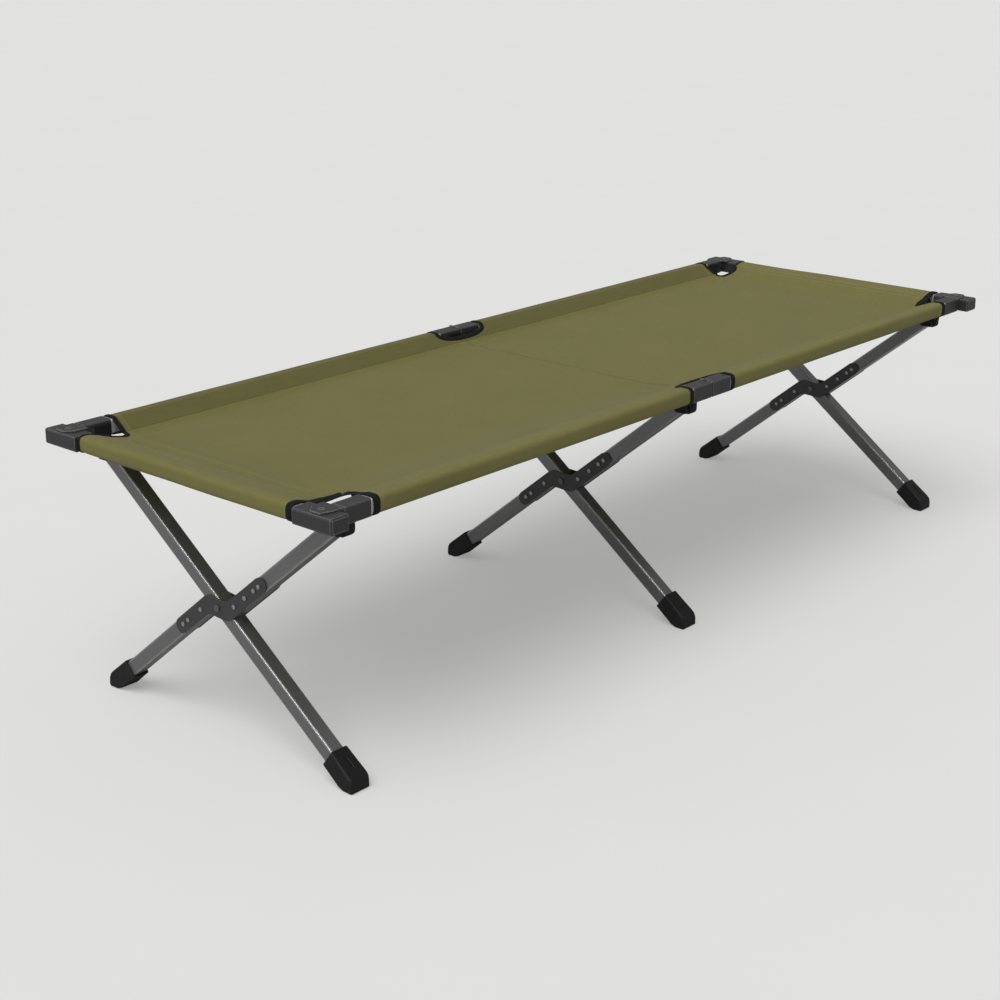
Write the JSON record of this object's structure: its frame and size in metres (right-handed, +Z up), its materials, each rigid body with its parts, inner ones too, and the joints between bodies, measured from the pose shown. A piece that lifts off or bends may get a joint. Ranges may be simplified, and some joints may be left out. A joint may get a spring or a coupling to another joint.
{
  "type": "folding camp bed",
  "caption": "Folding camp bed: olive canvas on square-tube side rails with mid hinges, lift-off end bars and scissor legs with rubber feet.",
  "frame": {"origin": "centre of the bed at floor level", "axes": "+X along the bed to its far end, +Y across it to the back rail, +Z up"},
  "size_m": [1.9, 0.68, 0.476],
  "materials": {
    "tube": "gunmetal, brushed satin",
    "plate": "dark satin steel",
    "pin": "plain steel",
    "moulding": "black, satin moulded",
    "rubber": "black, matt",
    "canvas": "olive drab plain-weave canvas"
  },
  "bodies": {
    "front_a": {"rail_front_near": "tube", "hinge_front_near": "moulding", "hinge_pin_front": "pin", "end_fitting_front_near": "moulding", "lug_front_near": "plate", "lug_front_mid": "plate", "canvas": "canvas"},
    "front_b": {"rail_front_far": "tube", "hinge_front_far": "moulding", "end_fitting_front_far": "moulding", "lug_front_far": "plate"},
    "back_a": {"rail_back_near": "tube", "hinge_back_near": "moulding", "hinge_pin_back": "pin", "end_fitting_back_near": "moulding", "lug_back_near": "plate", "lug_back_mid": "plate"},
    "back_b": {"rail_back_far": "tube", "hinge_back_far": "moulding", "end_fitting_back_far": "moulding", "lug_back_far": "plate"},
    "swivel_front_near": {"swivel_front_near": "plate"},
    "swivel_back_near": {"swivel_back_near": "plate"},
    "split_near": {"half_upper_near": "tube", "half_lower_near": "tube", "plate_near_near": "plate", "plate_far_near": "plate", "pivot_near": "pin", "foot_back_near": "rubber"},
    "cont_near": {"leg_near": "tube", "foot_front_near": "rubber"},
    "swivel_front_mid": {"swivel_front_mid": "plate"},
    "swivel_back_mid": {"swivel_back_mid": "plate"},
    "split_mid": {"half_upper_mid": "tube", "half_lower_mid": "tube", "plate_near_mid": "plate", "plate_far_mid": "plate", "pivot_mid": "pin", "foot_back_mid": "rubber"},
    "cont_mid": {"leg_mid": "tube", "foot_front_mid": "rubber"},
    "swivel_front_far": {"swivel_front_far": "plate"},
    "swivel_back_far": {"swivel_back_far": "plate"},
    "split_far": {"half_upper_far": "tube", "half_lower_far": "tube", "plate_near_far": "plate", "plate_far_far": "plate", "pivot_far": "pin", "foot_back_far": "rubber"},
    "cont_far": {"leg_far": "tube", "foot_front_far": "rubber"},
    "bar_near": {"end_bar_near": "tube", "cap_front_near": "moulding", "cap_back_near": "moulding"},
    "bar_far": {"end_bar_far": "tube", "cap_front_far": "moulding", "cap_back_far": "moulding"}
  },
  "joints": [
    {"name": "close", "type": "hinge", "parent": "swivel_front_mid", "child": "split_mid", "pos_m": [-0.016, -0.268, 0.424], "axis": [-1, 0, 0], "range_deg": [0, 45], "deforming": ["canvas"]},
    {"name": "fold", "type": "hinge", "parent": "front_a", "child": "front_b", "pos_m": [0, -0.306, 0.4738], "axis": [0, -1, 0], "range_deg": [0, 180]},
    {"name": "swing", "type": "hinge", "parent": "front_a", "child": "swivel_front_mid", "pos_m": [-0.016, -0.268, 0.424], "axis": [0, 1, 0], "range_deg": [0, 65]},
    {"name": "close_near", "type": "hinge", "parent": "swivel_front_near", "child": "split_near", "pos_m": [-0.87, -0.268, 0.424], "axis": [-1, 0, 0], "range_deg": [0, 45]},
    {"name": "close_far", "type": "hinge", "parent": "swivel_front_far", "child": "split_far", "pos_m": [0.8715, -0.268, 0.424], "axis": [-1, 0, 0], "range_deg": [0, 45]},
    {"name": "cross_near", "type": "hinge", "parent": "split_near", "child": "cont_near", "pos_m": [-0.87, 0, 0.225], "axis": [-1, 0, 0], "range_deg": [-90, 0]},
    {"name": "cross_mid", "type": "hinge", "parent": "split_mid", "child": "cont_mid", "pos_m": [-0.016, 0, 0.225], "axis": [-1, 0, 0], "range_deg": [-90, 0]},
    {"name": "cross_far", "type": "hinge", "parent": "split_far", "child": "cont_far", "pos_m": [0.8715, 0, 0.225], "axis": [-1, 0, 0], "range_deg": [-90, 0]},
    {"name": "top_back_mid", "type": "hinge", "parent": "cont_mid", "child": "swivel_back_mid", "pos_m": [-0.016, 0.268, 0.424], "axis": [-1, 0, 0], "range_deg": [0, 45]},
    {"name": "bar_off_near", "type": "slide", "parent": "front_a", "child": "bar_near", "axis": [0, 0, -1], "range_m": [0, 0.11]},
    {"name": "bar_off_far", "type": "slide", "parent": "front_b", "child": "bar_far", "axis": [0, 0, -1], "range_m": [0, 0.11]},
    {"name": "fold_back", "type": "hinge", "parent": "back_a", "child": "back_b", "pos_m": [0, 0.306, 0.4738], "axis": [0, -1, 0], "range_deg": [0, 180]},
    {"name": "swing_front_near", "type": "hinge", "parent": "front_a", "child": "swivel_front_near", "pos_m": [-0.87, -0.268, 0.424], "axis": [0, -1, 0], "range_deg": [0, 90]},
    {"name": "swing_front_far", "type": "hinge", "parent": "front_b", "child": "swivel_front_far", "pos_m": [0.8715, -0.268, 0.424], "axis": [0, 1, 0], "range_deg": [0, 90]},
    {"name": "swing_back_mid", "type": "hinge", "parent": "swivel_back_mid", "child": "back_a", "pos_m": [-0.016, 0.268, 0.424], "axis": [0, 1, 0], "range_deg": [-65, 0]},
    {"name": "swing_back_near", "type": "hinge", "parent": "back_a", "child": "swivel_back_near", "pos_m": [-0.87, 0.268, 0.424], "axis": [0, -1, 0], "range_deg": [0, 90]},
    {"name": "swing_back_far", "type": "hinge", "parent": "back_b", "child": "swivel_back_far", "pos_m": [0.8715, 0.268, 0.424], "axis": [0, 1, 0], "range_deg": [0, 90]}
  ],
  "couplings": [
    {"joint": "close_near", "follows": "close", "ratio": 1},
    {"joint": "close_far", "follows": "close", "ratio": 1},
    {"joint": "cross_near", "follows": "close", "ratio": -2},
    {"joint": "cross_mid", "follows": "close", "ratio": -2},
    {"joint": "cross_far", "follows": "close", "ratio": -2},
    {"joint": "top_back_mid", "follows": "close", "ratio": 1},
    {"joint": "bar_off_near", "follows": "close", "m_per_rad": 0.14006},
    {"joint": "bar_off_far", "follows": "close", "m_per_rad": 0.14006},
    {"joint": "fold_back", "follows": "fold", "ratio": 1},
    {"joint": "swing_front_near", "follows": "swing", "ratio": 1.3846},
    {"joint": "swing_front_far", "follows": "swing", "ratio": 1.3846},
    {"joint": "swing_back_mid", "follows": "swing", "ratio": -1},
    {"joint": "swing_back_near", "follows": "swing", "ratio": 1.3846},
    {"joint": "swing_back_far", "follows": "swing", "ratio": 1.3846}
  ]
}
